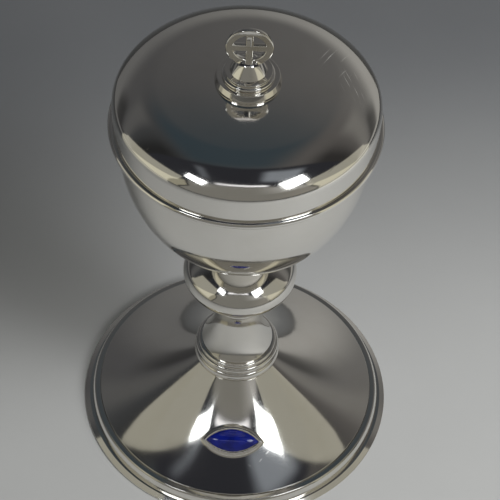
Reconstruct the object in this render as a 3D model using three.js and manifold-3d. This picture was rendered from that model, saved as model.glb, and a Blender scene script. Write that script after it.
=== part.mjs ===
// A covered ciborium in polished silver: a deep cup on a knopped stem and a trumpet foot,
// with a domed cover, a cross-in-ring finial and a navette blue stone on the foot.
// Millimetres, +Z up, origin at the middle of the face the foot stands on.
// The stone and the face of the finial look along -Y.

import * as THREE from 'three';
import * as BufferGeometryUtils from 'three/addons/utils/BufferGeometryUtils.js';
import Module from 'manifold-3d';

const wasm = await Module();
wasm.setup();

// Cup
const cupRadius = 56.4;
const cupDepth = 75.7;
const cupBandHeight = 2.3;
const cupFullness = 2.22;
const cupWall = 1;
const cupSeatRadius = 9;
const rimWireWidth = 3.55;
const rimWireHeight = 3.2;

// Cover
const coverOverhang = 1.6;
const coverWall = 0.9;
const crownRadius = 400;
const haunchRadius = 32;
const haunchWidth = 18;
const shoulderWidth = 2;
const coverRise = 24.5;
const sleeveDepth = 6;
const sleeveWall = 0.9;
const sleeveClearance = 0.4;
const sleeveFlange = 1;

// Finial
const finialBaseRadius = 14.3;
const finialBaseEdge = 1.2;
const finialBaseHeight = 3.7;
const finialBaseTopRadius = 13.4;
const finialBeadRadius = 11.3;
const finialBeadHeight = 1.6;
const finialStepRadius = 10.3;
const finialStepHeight = 1.6;
const bellRadius = 8;
const bellHeight = 5.6;
const bellNeckRadius = 3.4;
const bellSlotDepth = 3.3;
const crossRingRadius = 10.1;
const crossRingWidth = 3.2;
const crossBarWidth = 3.2;
const crossThickness = 2.2;
const crossBevel = 0.5;
const crossFootWidth = 4.8;
const crossFootReach = 0.3;

// Knop
const knopRadius = 26.8;
const knopEdgeRadius = 7.9;
const knopCapRadius = 38.5;
const knopCapTilt = 38;
const knopWall = 1;
const knopSeatRadius = 10.5;
const knopHoleRadius = 6;

// Stem and its mouldings
const stemFootRadius = 17.2;
const stemFootEdge = 1.2;
const stemWaistRadius = 10.85;
const stemWaistRise = 22.8;
const stemHeadRadius = 11.3;
const stemHeadRise = 3.6;
const stemWall = 1.6;
const stemCollarRadius = 12.3;
const stemCollarHeight = 11.5;
const stemCollarBead = 3.2;
const stemCollarNeckRadius = 10.4;
const neckBeadRadius = 11.2;
const neckBeadHeight = 3.6;
const neckSpoolRadius = 9.6;
const neckSpoolWaist = 8;
const neckSpoolHeight = 5.55;
const cupSocketRadius = 9.2;
const cupSocketHeight = 3;
const footBeadRadius = 18.9;
const footBeadHeight = 1.8;
const upperCollarRadius = 20.3;
const upperCollarHeight = 3;
const lowerCollarRadius = 20.85;
const lowerCollarHeight = 4.7;
const collarGrooveRadius = 19.4;
const lowerCollarInset = 1;
const upperCollarInset = 1.4;
const footBeadInset = 0.4;
const collarGrooveHeight = 1;
const collarBoreRadius = 8;

// Foot
const plinthRadius = 76.2;
const plinthHeight = 2;
const plinthEdge = 0.8;
const plinthSlope = 2.5;
const plinthLedge = 1.4;
const mouldingRound = 1.9;
const mouldingFlat = 2.3;
const mouldingHeight = 5.7;
const mouldingFillet = 0.5;
const footTopRadius = 20.2;
const footTopHeight = 35.48;
const footEdgeHeight = 8.35;
const footSag = 2.27;
const footWall = 1;
const plinthShelf = 0.6;

// Navette stone and its setting on the foot
const stoneLength = 26.4;
const stoneWidth = 11.6;
const stoneDome = 3.4;
const stoneGirdle = 0.4;
const stonePlace = 0.507;
const stoneLift = 0.6;
const stoneSpread = 1.037;
const lipWidth = 0.5;
const settingWall = 1.3;
const settingHeight = 3.2;
const settingEdge = 0.4;
const settingFlange = 1.3;
const settingFlangeHeight = 0.7;

// Rod, stud and their nuts
const rodRadius = 2.5;
const rodTail = 3.2;
const rodNutWidth = 8;
const rodNutHeight = 4;
const rodWasherRadius = 5.5;
const spreaderRadius = 16;
const spreaderHeight = 2;
const studRadius = 2;
const studReach = 1.5;
const studTail = 1.4;
const studNutWidth = 7;
const studNutHeight = 3.2;
const studWasherRadius = 5;
const washerHeight = 1;

// Clearances
const solderGap = 0.05;
const cutGap = 0.3;
const screwGap = 0.1;

// Facets round each size of turned piece
const largeSides = 36;
const mediumSides = 20;
const smallSides = 12;

const silver = () => new THREE.MeshStandardMaterial({ color: 0xb9b4ac, roughness: 0.12, metalness: 1 });
const brass = () => new THREE.MeshStandardMaterial({ color: 0xa98a4b, roughness: 0.35, metalness: 1 });
const lapis = () => new THREE.MeshStandardMaterial({ color: 0x0a1a7a, roughness: 0.08, metalness: 0 });

const point = (radius, height) => new THREE.Vector2(radius, height);
const radians = THREE.MathUtils.degToRad;

// Points on an elliptical arc in the plane of radius and height, angles in degrees from +radius.
function arc(centreRadius, centreHeight, reach, rise, from, to, steps) {
  return Array.from({ length: steps + 1 }, (_, index) => {
    const angle = radians(from + (to - from) * index / steps);
    return point(centreRadius + reach * Math.cos(angle), centreHeight + rise * Math.sin(angle));
  });
}

// The same outline moved to its left by the wall, so an outline that runs up the outside gives the inside.
// At its two ends the wall is cut level where the outline is steep, and upright where it is flat.
function inset(outline, wall) {
  const last = outline.length - 1;
  return outline.map((here, index) => {
    const incoming = here.clone().sub(outline[index - 1] ?? here).normalize();
    const outgoing = (outline[index + 1] ?? here).clone().sub(here).normalize();
    const along = incoming.clone().add(outgoing).normalize();
    const segment = index === 0 ? outgoing : incoming;
    const steep = Math.abs(along.y) > Math.abs(along.x);
    const cut = steep ? point(-Math.sign(along.y), 0) : point(0, Math.sign(along.x));
    const side = index === 0 || index === last ? cut : point(-along.y, along.x);
    const reach = wall / side.dot(point(-segment.y, segment.x));
    return here.clone().addScaledVector(side, reach);
  });
}

// A spun shell: the outline up the outside, then the inset outline back down.
const shell = (outline, wall) => [...outline, ...inset(outline, wall).reverse()];

// Turns a profile round +Z. A profile off the axis is closed on itself.
function turned(profile, sides) {
  const closed = profile[0].x > 0 ? [...profile, profile[0].clone()] : profile;
  const geometry = new THREE.LatheGeometry(closed, sides);
  geometry.rotateX(Math.PI / 2);
  return geometry;
}

// A ring with a straight bore: bore radius, then the outline up its outside.
const ringProfile = (bore, outline) => [
  point(bore, outline[0].y),
  ...outline,
  point(bore, outline[outline.length - 1].y),
];

// A half-round moulding that stands out from its root radius between two heights.
const bead = (rootRadius, outerRadius, bottom, top, steps) => {
  const middle = (bottom + top) / 2;
  return arc(rootRadius, middle, outerRadius - rootRadius, (top - bottom) / 2, -90, 90, steps);
};

function toSolid(geometry) {
  const bare = geometry.clone();
  bare.deleteAttribute('normal');
  bare.deleteAttribute('uv');
  const merged = BufferGeometryUtils.mergeVertices(bare, 1e-5);
  const vertProperties = new Float32Array(merged.attributes.position.array);
  const triVerts = new Uint32Array(merged.index.array);
  return new wasm.Manifold(new wasm.Mesh({ numProp: 3, vertProperties, triVerts }));
}

function toGeometry(solid) {
  const mesh = solid.getMesh();
  const geometry = new THREE.BufferGeometry();
  geometry.setAttribute('position', new THREE.BufferAttribute(mesh.vertProperties, 3));
  geometry.setIndex(new THREE.BufferAttribute(mesh.triVerts, 1));
  geometry.computeVertexNormals();
  return geometry;
}

function piece(name, geometry, material) {
  const mesh = new THREE.Mesh(geometry, material);
  mesh.name = name;
  return mesh;
}

// Washer: a flat ring whose lower face is at the given height.
function washer(name, bore, radius, bottom, thickness, material) {
  const outline = [point(radius, bottom), point(radius, bottom + thickness)];
  return piece(name, turned(ringProfile(bore, outline), mediumSides), material);
}

// Hexagon nut with a round bore, its lower face at the given height.
function hexNut(name, acrossFlats, bore, bottom, thickness) {
  const outline = new THREE.Shape();
  const corner = acrossFlats / Math.sqrt(3);
  for (let side = 0; side < 6; side += 1) {
    const angle = side * Math.PI / 3;
    const place = [corner * Math.cos(angle), corner * Math.sin(angle)];
    if (side === 0) outline.moveTo(...place);
    else outline.lineTo(...place);
  }
  outline.holes.push(new THREE.Path().absarc(0, 0, bore, 0, 2 * Math.PI, true));
  const geometry = new THREE.ExtrudeGeometry(outline, { depth: thickness, bevelEnabled: false, curveSegments: 8 });
  const mesh = piece(name, geometry, brass());
  mesh.position.z = bottom;
  return mesh;
}

function roundBar(name, radius, bottom, top, material) {
  const profile = [point(0, bottom), point(radius, bottom), point(radius, top), point(0, top)];
  return piece(name, turned(profile, smallSides), material);
}

// The moulded edge steps in from the plinth, and the trumpet ends inside it.
const plinthStepRadius = plinthRadius - plinthSlope;
const mouldingFootRadius = plinthStepRadius - plinthLedge;
const mouldingTopRadius = mouldingFootRadius - mouldingRound;
const footEdgeRadius = mouldingTopRadius - mouldingFlat;

// Foot: a spun trumpet that falls from the collar to its edge and sags a little between them.
const footRun = footEdgeRadius - footTopRadius;
const stoneCentreRadius = footTopRadius + stonePlace * footRun;
const footFall = footTopHeight - footEdgeHeight;
const footHeightAt = (radius) => {
  const part = (radius - footTopRadius) / footRun;
  return footTopHeight - footFall * part - 4 * footSag * part * (1 - part);
};
const footSlopeAt = (radius) => {
  const part = (radius - footTopRadius) / footRun;
  return -(footFall + 4 * footSag * (1 - 2 * part)) / footRun;
};

function footOutline(lift) {
  const steps = 6;
  const curve = Array.from({ length: steps + 1 }, (_, index) => {
    const radius = footEdgeRadius + (footTopRadius - footEdgeRadius) * index / steps;
    return point(radius, footHeightAt(radius) + lift);
  });
  return [point(footEdgeRadius, plinthHeight), ...curve];
}

function footCone() {
  const outline = [...footOutline(0), point(rodRadius + screwGap, footTopHeight)];
  return piece('foot_cone', turned(shell(outline, footWall), largeSides), silver());
}

// Moulded edge: a flat fillet beside the trumpet, then a bold round that drops to the plinth.
function footRimMoulding() {
  const bore = footEdgeRadius + solderGap;
  const springing = plinthHeight + mouldingFillet;
  const rise = mouldingHeight - mouldingFillet;
  const round = arc(mouldingTopRadius, springing, mouldingFootRadius - mouldingTopRadius, rise, 0, 90, 5);
  const outline = [point(mouldingFootRadius, plinthHeight), ...round];
  return piece('foot_rim_moulding', turned(ringProfile(bore, outline), largeSides), silver());
}

function plinthRing() {
  const outline = [
    point(plinthRadius - plinthEdge / 2, 0),
    point(plinthRadius, plinthEdge / 2),
    point(plinthRadius, plinthEdge),
    point(plinthStepRadius, plinthHeight),
  ];
  const bore = footEdgeRadius - footWall - plinthShelf;
  return piece('plinth_ring', turned(ringProfile(bore, outline), largeSides), silver());
}

// Collar between foot and stem: a bold round with a groove over it, a smaller round and a bead.
const lowerCollarTop = footTopHeight + lowerCollarHeight;
const upperCollarBottom = lowerCollarTop + collarGrooveHeight;
const upperCollarTop = upperCollarBottom + upperCollarHeight;
const stemFootHeight = upperCollarTop + footBeadHeight;

function collarRings() {
  const round = bead(footTopRadius - lowerCollarInset, lowerCollarRadius, footTopHeight, lowerCollarTop, 6);
  const groove = [point(collarGrooveRadius, lowerCollarTop), point(collarGrooveRadius, upperCollarBottom)];
  const lower = [...round, ...groove];
  const upper = bead(stemFootRadius + upperCollarInset, upperCollarRadius, upperCollarBottom, upperCollarTop, 6);
  const top = bead(stemFootRadius + footBeadInset, footBeadRadius, upperCollarTop, stemFootHeight, 4);
  const ring = (outline) => turned(ringProfile(collarBoreRadius, outline), mediumSides);
  return [
    piece('collar_lower_ring', ring(lower), silver()),
    piece('collar_upper_ring', ring(upper), silver()),
    piece('stem_foot_bead', ring(top), silver()),
  ];
}

// Stem: a spool that flares in one long arc to an upright edge, and hardly at all to the knop.
const stemFlareHeight = stemFootHeight + stemFootEdge;
const stemWaistHeight = stemFlareHeight + stemWaistRise;
const stemHeadHeight = stemWaistHeight + stemHeadRise;

function stem() {
  const spread = stemFootRadius - stemWaistRadius;
  const bend = 2 * Math.atan(spread / stemWaistRise);
  const sweep = stemWaistRise / Math.sin(bend);
  const bendEnd = 180 + THREE.MathUtils.radToDeg(bend);
  const flare = arc(stemWaistRadius + sweep, stemWaistHeight, sweep, sweep, bendEnd, 180, 7);
  const swell = arc(
    stemHeadRadius,
    stemWaistHeight,
    stemHeadRadius - stemWaistRadius,
    stemHeadHeight - stemWaistHeight,
    180,
    90,
    3,
  ).slice(1);
  const outline = [point(stemFootRadius, stemFootHeight), ...flare, ...swell];
  return piece('stem', turned(ringProfile(stemWaistRadius - stemWall, outline), mediumSides), silver());
}

// Knop: two spun halves that meet at the widest ring, each a shallow cap rolled into a tight edge.
const capStart = knopRadius - knopEdgeRadius;
const rollAngle = 90 - knopCapTilt;
const rollRise = knopEdgeRadius * Math.sin(radians(rollAngle));
const capCentre = rollRise - knopCapRadius * Math.sin(radians(rollAngle));
const knopSeatRise = capCentre + Math.sqrt(knopCapRadius ** 2 - knopSeatRadius ** 2);
const knopFootHeight = stemHeadHeight + stemCollarHeight;
const knopHeight = knopFootHeight + knopSeatRise;
const knopTopHeight = knopHeight + knopSeatRise;

function knopHalfOutline() {
  const capEnd = THREE.MathUtils.radToDeg(Math.acos(knopSeatRadius / knopCapRadius));
  const capOffset = capStart + (knopEdgeRadius - knopCapRadius) * Math.cos(radians(rollAngle));
  const roll = arc(capStart, 0, knopEdgeRadius, knopEdgeRadius, 0, rollAngle, 4);
  const cap = arc(capOffset, capCentre, knopCapRadius, knopCapRadius, rollAngle, capEnd, 2).slice(1);
  return [...roll, ...cap, point(knopHoleRadius, cap[cap.length - 1].y)];
}

function knopHalves() {
  const upper = knopHalfOutline().map((at) => point(at.x, knopHeight + at.y));
  const lower = knopHalfOutline().map((at) => point(at.x, knopHeight - at.y)).reverse();
  return [
    piece('knop_lower_half', turned(shell(lower, knopWall), mediumSides), silver()),
    piece('knop_upper_half', turned(shell(upper, knopWall), mediumSides), silver()),
  ];
}

// Turned collar under the knop: a bead on the head of the stem and a drawn-in neck above it.
function stemHeadCollar() {
  const beadTop = stemHeadHeight + stemCollarBead;
  const beadPart = bead(stemCollarNeckRadius, stemCollarRadius, stemHeadHeight, beadTop, 4);
  const neckPart = arc(
    stemCollarNeckRadius,
    (beadTop + knopFootHeight) / 2,
    stemCollarNeckRadius - neckSpoolRadius,
    (knopFootHeight - beadTop) / 2,
    270,
    90,
    4,
  ).slice(1);
  const outline = [...beadPart, ...neckPart];
  return piece('stem_head_collar', turned(ringProfile(knopHoleRadius, outline), mediumSides), silver());
}

// Cup: a deep bowl with a full, nearly upright side and a small flat seat under it.
const cupFallAt = (radius) => (1 - (radius / cupRadius) ** 2) ** (1 / cupFullness);
const neckBeadTop = knopTopHeight + neckBeadHeight;
const socketBottom = neckBeadTop + neckSpoolHeight;
const cupSeatHeight = socketBottom + cupSocketHeight;
const cupBandFoot = cupSeatHeight + cupDepth * cupFallAt(cupSeatRadius);
const cupHeightAt = (radius) => cupBandFoot - cupDepth * cupFallAt(radius);
const mouthHeight = cupBandFoot + cupBandHeight;

function cup() {
  const steps = 8;
  const seatAngle = Math.asin(cupSeatRadius / cupRadius);
  const side = Array.from({ length: steps + 1 }, (_, index) => {
    const angle = seatAngle + (Math.PI / 2 - seatAngle) * index / steps;
    const radius = cupRadius * Math.sin(angle);
    return point(radius, cupHeightAt(Math.min(radius, cupRadius)));
  });
  const outline = [point(0, cupSeatHeight), ...side, point(cupRadius, mouthHeight)];
  return piece('cup', turned(shell(outline, cupWall), largeSides), silver());
}

// Half-round wire soldered round the mouth. Its flat top carries the cover.
function cupRimWire() {
  const bore = cupRadius + solderGap;
  const outer = cupRadius + rimWireWidth;
  const half = rimWireHeight / 2;
  const outline = bead(outer - half, outer, mouthHeight - rimWireHeight, mouthHeight, 6);
  return piece('cup_rim_wire', turned(ringProfile(bore, outline), largeSides), silver());
}

// Between knop and cup: a bead, a drawn-in spool and the screwed socket on the cup's flat seat.
function neckRings() {
  const beadOutline = bead(neckSpoolRadius, neckBeadRadius, knopTopHeight, neckBeadTop, 4);
  const spoolOutline = arc(
    neckSpoolRadius,
    (neckBeadTop + socketBottom) / 2,
    neckSpoolRadius - neckSpoolWaist,
    neckSpoolHeight / 2,
    270,
    90,
    5,
  );
  const socketOutline = bead(cupSocketRadius - 0.6, cupSocketRadius, socketBottom, cupSeatHeight, 2);
  const bore = rodRadius + screwGap;
  return [
    piece('neck_bead', turned(ringProfile(knopHoleRadius, beadOutline), mediumSides), silver()),
    piece('neck_spool', turned(ringProfile(knopHoleRadius, spoolOutline), mediumSides), silver()),
    piece('cup_socket', turned(ringProfile(bore, socketOutline), mediumSides), silver()),
  ];
}

// Screwed rod from the cup's socket down through knop, stem and collar, drawn tight under the foot.
function clampingParts() {
  const underTop = footTopHeight - footWall - solderGap;
  const spreaderBottom = underTop - spreaderHeight;
  const washerBottom = spreaderBottom - washerHeight;
  const nutBottom = washerBottom - rodNutHeight;
  const bore = rodRadius + screwGap;
  return [
    roundBar('tie_rod', rodRadius, nutBottom - rodTail, cupSeatHeight - screwGap, brass()),
    washer('spreader_plate', bore, spreaderRadius, spreaderBottom, spreaderHeight, brass()),
    washer('tie_rod_washer', bore, rodWasherRadius, washerBottom, washerHeight, brass()),
    hexNut('tie_rod_nut', rodNutWidth, bore, nutBottom, rodNutHeight),
  ];
}

// Outline of a navette: two equal arcs that meet at pointed ends.
function navette(length, width) {
  const halfLength = length / 2;
  const halfWidth = width / 2;
  const radius = (halfLength ** 2 + halfWidth ** 2) / (2 * halfWidth);
  const sweep = Math.asin(halfLength / radius);
  const shape = new THREE.Shape();
  shape.absarc(0, halfWidth - radius, radius, Math.PI / 2 - sweep, Math.PI / 2 + sweep, false);
  shape.absarc(0, radius - halfWidth, radius, -Math.PI / 2 - sweep, -Math.PI / 2 + sweep, false);
  return shape;
}

function navettePrism(length, width, bottom, top, edge = 0) {
  const geometry = new THREE.ExtrudeGeometry(navette(length, width), {
    depth: top - bottom - 2 * edge,
    bevelEnabled: edge > 0,
    bevelThickness: edge,
    bevelSize: edge,
    bevelOffset: -edge,
    bevelSegments: 2,
    curveSegments: 5,
  });
  geometry.translate(0, 0, bottom + edge);
  return toSolid(geometry);
}

// The stone is a navette prism rounded over by a flattened ball. Growth makes the seat that clears it.
function stoneSolid(growth, bottom) {
  const length = stoneLength + 2 * growth;
  const width = stoneWidth + 2 * growth;
  const crown = stoneLift + stoneGirdle;
  const ball = new THREE.SphereGeometry(1, 24, 12);
  ball.rotateX(Math.PI / 2);
  ball.scale(length / 2 * stoneSpread, width / 2 * stoneSpread, stoneDome + growth);
  ball.translate(0, 0, crown);
  const prism = navettePrism(length, width, bottom, crown + 2 * stoneDome);
  const foot = navettePrism(length, width, bottom, crown + growth);
  return prism.intersect(toSolid(ball).add(foot));
}

// Setting: a collet with a turned-in lip and a narrow flange, its foot cut to the trumpet of the foot.
function stoneSetting() {
  const setting = new THREE.Group();
  setting.position.set(0, -stoneCentreRadius, footHeightAt(stoneCentreRadius));
  setting.rotation.x = -Math.atan(footSlopeAt(stoneCentreRadius));
  setting.updateMatrixWorld();

  const below = -settingHeight;
  const outerLength = stoneLength + 2 * settingWall;
  const outerWidth = stoneWidth + 2 * settingWall;
  const wall = navettePrism(outerLength, outerWidth, below, settingHeight, settingEdge);
  const flangeLength = outerLength + 2 * settingFlange;
  const flangeWidth = outerWidth + 2 * settingFlange;
  const flange = navettePrism(flangeLength, flangeWidth, below, settingFlangeHeight);
  const opening = navettePrism(
    stoneLength - 2 * lipWidth,
    stoneWidth - 2 * lipWidth,
    below - settingEdge,
    settingHeight + settingEdge,
  );
  const seat = stoneSolid(screwGap, below - settingEdge);

  const trumpet = [point(0, 0), point(footEdgeRadius, 0), ...footOutline(cutGap), point(0, footTopHeight + cutGap)];
  const footSurface = turned(trumpet, largeSides);
  footSurface.applyMatrix4(setting.matrixWorld.clone().invert());

  const collet = wall.add(flange).subtract(opening).subtract(seat).subtract(toSolid(footSurface));
  setting.add(piece('stone_setting', toGeometry(collet), silver()));
  setting.add(piece('stone', toGeometry(stoneSolid(0, stoneLift)), lapis()));
  return setting;
}

// Cover: shallow crown, rounder haunch and tight shoulder as three arcs that run into each other.
const coverRadius = cupRadius + coverOverhang;
const shoulderReach = coverRadius - shoulderWidth;
const crownReach = shoulderReach - haunchWidth;
const crownTilt = Math.asin(crownReach / crownRadius);
const shoulderTilt = Math.asin(Math.sin(crownTilt) + (shoulderReach - crownReach) / haunchRadius);
const shoulderRadius = shoulderWidth / (1 - Math.sin(shoulderTilt));
const coverTop = mouthHeight + coverRise;
const crownCentre = coverTop - crownRadius;
const crownHeightAt = (radius) => crownCentre + Math.sqrt(crownRadius ** 2 - radius ** 2);
const studBore = studRadius + screwGap;

function coverDome() {
  const inDegrees = THREE.MathUtils.radToDeg;
  const haunchEdge = point(crownReach, crownHeightAt(crownReach));
  const haunchCentre = point(
    haunchEdge.x - haunchRadius * Math.sin(crownTilt),
    haunchEdge.y - haunchRadius * Math.cos(crownTilt),
  );
  const edgeRadius = coverRadius - shoulderRadius;
  const shoulderTop = haunchCentre.y + haunchRadius * Math.cos(shoulderTilt);
  const shoulderCentre = shoulderTop - shoulderRadius * Math.cos(shoulderTilt);
  const shoulderEnd = 90 - inDegrees(shoulderTilt);
  const crownEnd = 90 - inDegrees(crownTilt);
  const shoulder = arc(edgeRadius, shoulderCentre, shoulderRadius, shoulderRadius, 0, shoulderEnd, 4);
  const haunch = arc(haunchCentre.x, haunchCentre.y, haunchRadius, haunchRadius, shoulderEnd, crownEnd, 5);
  const crown = [finialBaseRadius, studBore].map((radius) => point(radius, crownHeightAt(radius)));
  const outline = [point(coverRadius, mouthHeight), ...shoulder, ...haunch.slice(1), ...crown];
  return piece('cover_dome', turned(shell(outline, coverWall), largeSides), silver());
}

// Locating sleeve: an angle ring inside the cover's edge that drops into the mouth of the cup.
function coverSleeve() {
  const outer = cupRadius - cupWall - sleeveClearance;
  const flangeRadius = coverRadius - coverWall - solderGap;
  const flangeBottom = mouthHeight + cutGap;
  const profile = [
    point(outer - sleeveWall, mouthHeight - sleeveDepth),
    point(outer, mouthHeight - sleeveDepth),
    point(outer, flangeBottom),
    point(flangeRadius, flangeBottom),
    point(flangeRadius, flangeBottom + sleeveFlange),
    point(outer - sleeveWall, flangeBottom + sleeveFlange),
  ];
  return piece('cover_sleeve', turned(profile, largeSides), silver());
}

// Finial: a bevelled disc, a beaded step and a bell with a slot in its top for the cross in its ring.
const finialBaseFoot = crownHeightAt(finialBaseRadius) + solderGap;
const finialBaseTop = finialBaseFoot + finialBaseHeight;
const finialBeadTop = finialBaseTop + finialBeadHeight;
const finialStepTop = finialBeadTop + finialStepHeight;
const bellTop = finialStepTop + bellHeight;
const bellSlotFloor = bellTop - bellSlotDepth;
const crossFootHeight = bellSlotFloor + solderGap;
const crossHeight = crossFootHeight + crossFootReach + crossRingRadius;

function finialMouldings() {
  const baseProfile = [
    point(studBore, crownHeightAt(studBore) + solderGap),
    point(finialBaseRadius, finialBaseFoot),
    point(finialBaseRadius, finialBaseFoot + finialBaseEdge),
    point(finialBaseTopRadius, finialBaseTop),
    point(studBore, finialBaseTop),
  ];
  const beadOutline = bead(finialStepRadius, finialBeadRadius, finialBaseTop, finialBeadTop, 4);
  const stepOutline = [...beadOutline, point(finialStepRadius, finialStepTop)];
  const waist = (bellRadius + bellNeckRadius) / 2;
  const middle = (finialStepTop + bellTop) / 2;
  const round = arc(waist, finialStepTop, bellRadius - waist, middle - finialStepTop, 0, 90, 3);
  const hollow = arc(waist, bellTop, waist - bellNeckRadius, bellTop - middle, 270, 180, 3).slice(1);
  const bellProfile = [
    point(0, finialStepTop + studReach),
    point(studBore, finialStepTop + studReach),
    point(studBore, finialStepTop),
    ...round,
    ...hollow,
    point(0, bellTop),
  ];
  const slotWidth = crossThickness + 2 * solderGap;
  const slot = new THREE.BoxGeometry(4 * bellRadius, slotWidth, 2 * bellSlotDepth);
  slot.translate(0, 0, bellTop);
  const bell = toSolid(turned(bellProfile, mediumSides)).subtract(toSolid(slot));
  return [
    piece('finial_base', turned(baseProfile, mediumSides), silver()),
    piece('finial_step', turned(ringProfile(studBore, stepOutline), mediumSides), silver()),
    piece('finial_bell', toGeometry(bell), silver()),
  ];
}

// The ring stands on a short foot in the bell's slot and holds a cross with equal arms.
function crossInRing() {
  const footHalf = crossFootWidth / 2;
  const footAngle = Math.asin(footHalf / crossRingRadius);
  const foot = crossRingRadius + crossFootReach;
  const outline = new THREE.Shape();
  outline.moveTo(-footHalf, -foot);
  outline.lineTo(footHalf, -foot);
  outline.absarc(0, 0, crossRingRadius, footAngle - Math.PI / 2, Math.PI / 2, false);
  outline.absarc(0, 0, crossRingRadius, Math.PI / 2, 1.5 * Math.PI - footAngle, false);

  const inner = crossRingRadius - crossRingWidth;
  const barHalf = crossBarWidth / 2;
  const barAngle = Math.asin(barHalf / inner);
  for (let quarter = 0; quarter < 4; quarter += 1) {
    const turn = quarter * Math.PI / 2;
    const corner = point(barHalf, barHalf).rotateAround(point(0, 0), turn);
    const edge = point(inner, 0).rotateAround(point(0, 0), turn + barAngle);
    const opening = new THREE.Path();
    opening.moveTo(corner.x, corner.y);
    opening.lineTo(edge.x, edge.y);
    opening.absarc(0, 0, inner, turn + barAngle, turn + Math.PI / 2 - barAngle, false);
    outline.holes.push(opening);
  }
  const geometry = new THREE.ExtrudeGeometry(outline, {
    depth: crossThickness - 2 * crossBevel,
    bevelEnabled: true,
    bevelThickness: crossBevel,
    bevelSize: crossBevel,
    bevelOffset: -crossBevel,
    bevelSegments: 1,
    curveSegments: 6,
  });
  geometry.translate(0, 0, crossBevel - crossThickness / 2);
  const mesh = piece('finial_cross', geometry, silver());
  mesh.rotation.x = Math.PI / 2;
  mesh.position.z = crossHeight;
  return mesh;
}

// Stud through the cover, with its washer and nut inside.
function finialFixing() {
  const underCrown = crownHeightAt(studWasherRadius) - coverWall - solderGap;
  const washerBottom = underCrown - washerHeight;
  const nutBottom = washerBottom - studNutHeight;
  const studTop = finialStepTop + studReach - screwGap;
  return [
    roundBar('finial_stud', studRadius, nutBottom - studTail, studTop, brass()),
    washer('finial_washer', studBore, studWasherRadius, washerBottom, washerHeight, brass()),
    hexNut('finial_nut', studNutWidth, studBore, nutBottom, studNutHeight),
  ];
}

const vessel = new THREE.Group();
vessel.add(footCone(), footRimMoulding(), plinthRing(), stoneSetting());
vessel.add(...collarRings(), stem(), stemHeadCollar(), ...knopHalves(), ...neckRings());
vessel.add(cup(), cupRimWire(), ...clampingParts());

const cover = new THREE.Group();
cover.add(coverDome(), coverSleeve(), ...finialMouldings(), crossInRing(), ...finialFixing());

const ciborium = new THREE.Group();
ciborium.add(vessel, cover);

export default ciborium;
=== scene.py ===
"""A covered silver ciborium, dressed over its packed construction.

Each visible piece is turned, swept or cut again with a fine surface in the place of its
construction node, and gets a procedural finish. Lengths are in metres, +Z is up, and the
stone and the face of the finial look along -Y.
"""

from functools import cache
from math import acos, asin, atan, copysign, cos, degrees, hypot, pi, radians, sin, sqrt, tan

import bpy
from bpy.props import FloatProperty, FloatVectorProperty, PointerProperty
from bpy.types import Operator, Panel, PropertyGroup
from mathutils import Matrix, Vector


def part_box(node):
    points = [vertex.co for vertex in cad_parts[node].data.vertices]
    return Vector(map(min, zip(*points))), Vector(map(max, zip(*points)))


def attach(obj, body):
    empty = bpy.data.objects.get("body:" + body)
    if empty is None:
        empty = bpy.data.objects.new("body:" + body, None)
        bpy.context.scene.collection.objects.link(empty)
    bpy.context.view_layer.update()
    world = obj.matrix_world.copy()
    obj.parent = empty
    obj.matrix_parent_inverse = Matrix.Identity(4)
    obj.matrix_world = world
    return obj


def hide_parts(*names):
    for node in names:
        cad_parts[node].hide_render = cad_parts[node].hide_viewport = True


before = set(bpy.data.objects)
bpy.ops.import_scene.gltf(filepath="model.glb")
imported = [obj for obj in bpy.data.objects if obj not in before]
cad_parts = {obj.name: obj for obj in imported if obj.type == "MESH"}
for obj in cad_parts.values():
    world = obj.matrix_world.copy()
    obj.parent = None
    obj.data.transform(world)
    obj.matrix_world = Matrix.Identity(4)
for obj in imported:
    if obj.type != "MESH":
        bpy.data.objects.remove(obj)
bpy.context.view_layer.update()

bl_info = {
    "name": "Silver ciborium",
    "version": (1, 0, 0),
    "blender": (4, 5, 0),
    "location": "View3D > Sidebar > Ciborium",
    "description": "Dresses a covered ciborium with polished silver pieces and a blue stone",
    "category": "Add Mesh",
}

MM = 0.001

# Facets round a piece of each size
LARGE = 224
MEDIUM = 144
SMALL = 96


@cache
def box(node):
    """Corners of the box round a construction node, looked up once."""
    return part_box(node)


def low(node):
    """Height of a construction node's lowest point."""
    return box(node)[0].z


def high(node):
    """Height of a construction node's highest point."""
    return box(node)[1].z


def reach(node):
    """Widest radius of a construction node that is turned round the stem's axis."""
    return box(node)[1].x


def span(node):
    """Lowest and highest point of a construction node, and its widest radius."""
    return low(node), high(node), reach(node)


def length(name, default, description):
    """A size that a user can change, in metres."""
    return FloatProperty(
        name=name, description=description, default=default, min=0.0, precision=5,
        subtype="DISTANCE", unit="LENGTH",
    )


def shade(name, default, description):
    """A colour that a user can change."""
    return FloatVectorProperty(
        name=name, description=description, default=default, size=3, min=0.0, max=1.0,
        subtype="COLOR",
    )


def share(name, default, description, top=1.0):
    """A plain number that a user can change."""
    return FloatProperty(name=name, description=description, default=default, min=0.0, max=top)


class CiboriumCup(PropertyGroup):
    """Sizes of the cup, the wire round its mouth and the neck under it."""

    mouth: length("Mouth height", high("cup"), "Height of the cup's mouth above the table")
    radius: length("Radius", reach("cup"), "Radius of the cup at its mouth")
    depth: length("Depth", 75.7 * MM, "Depth of the bowl's curve below the straight band")
    band: length("Band", 2.3 * MM, "Height of the straight band at the mouth")
    fullness: share("Fullness", 2.22, "Power of the bowl's curve; 2 is an ellipse", 6.0)
    wall: length("Wall", 1.0 * MM, "Thickness of the spun wall")
    seat: length("Seat radius", 9.0 * MM, "Radius of the flat seat under the bowl")


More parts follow.
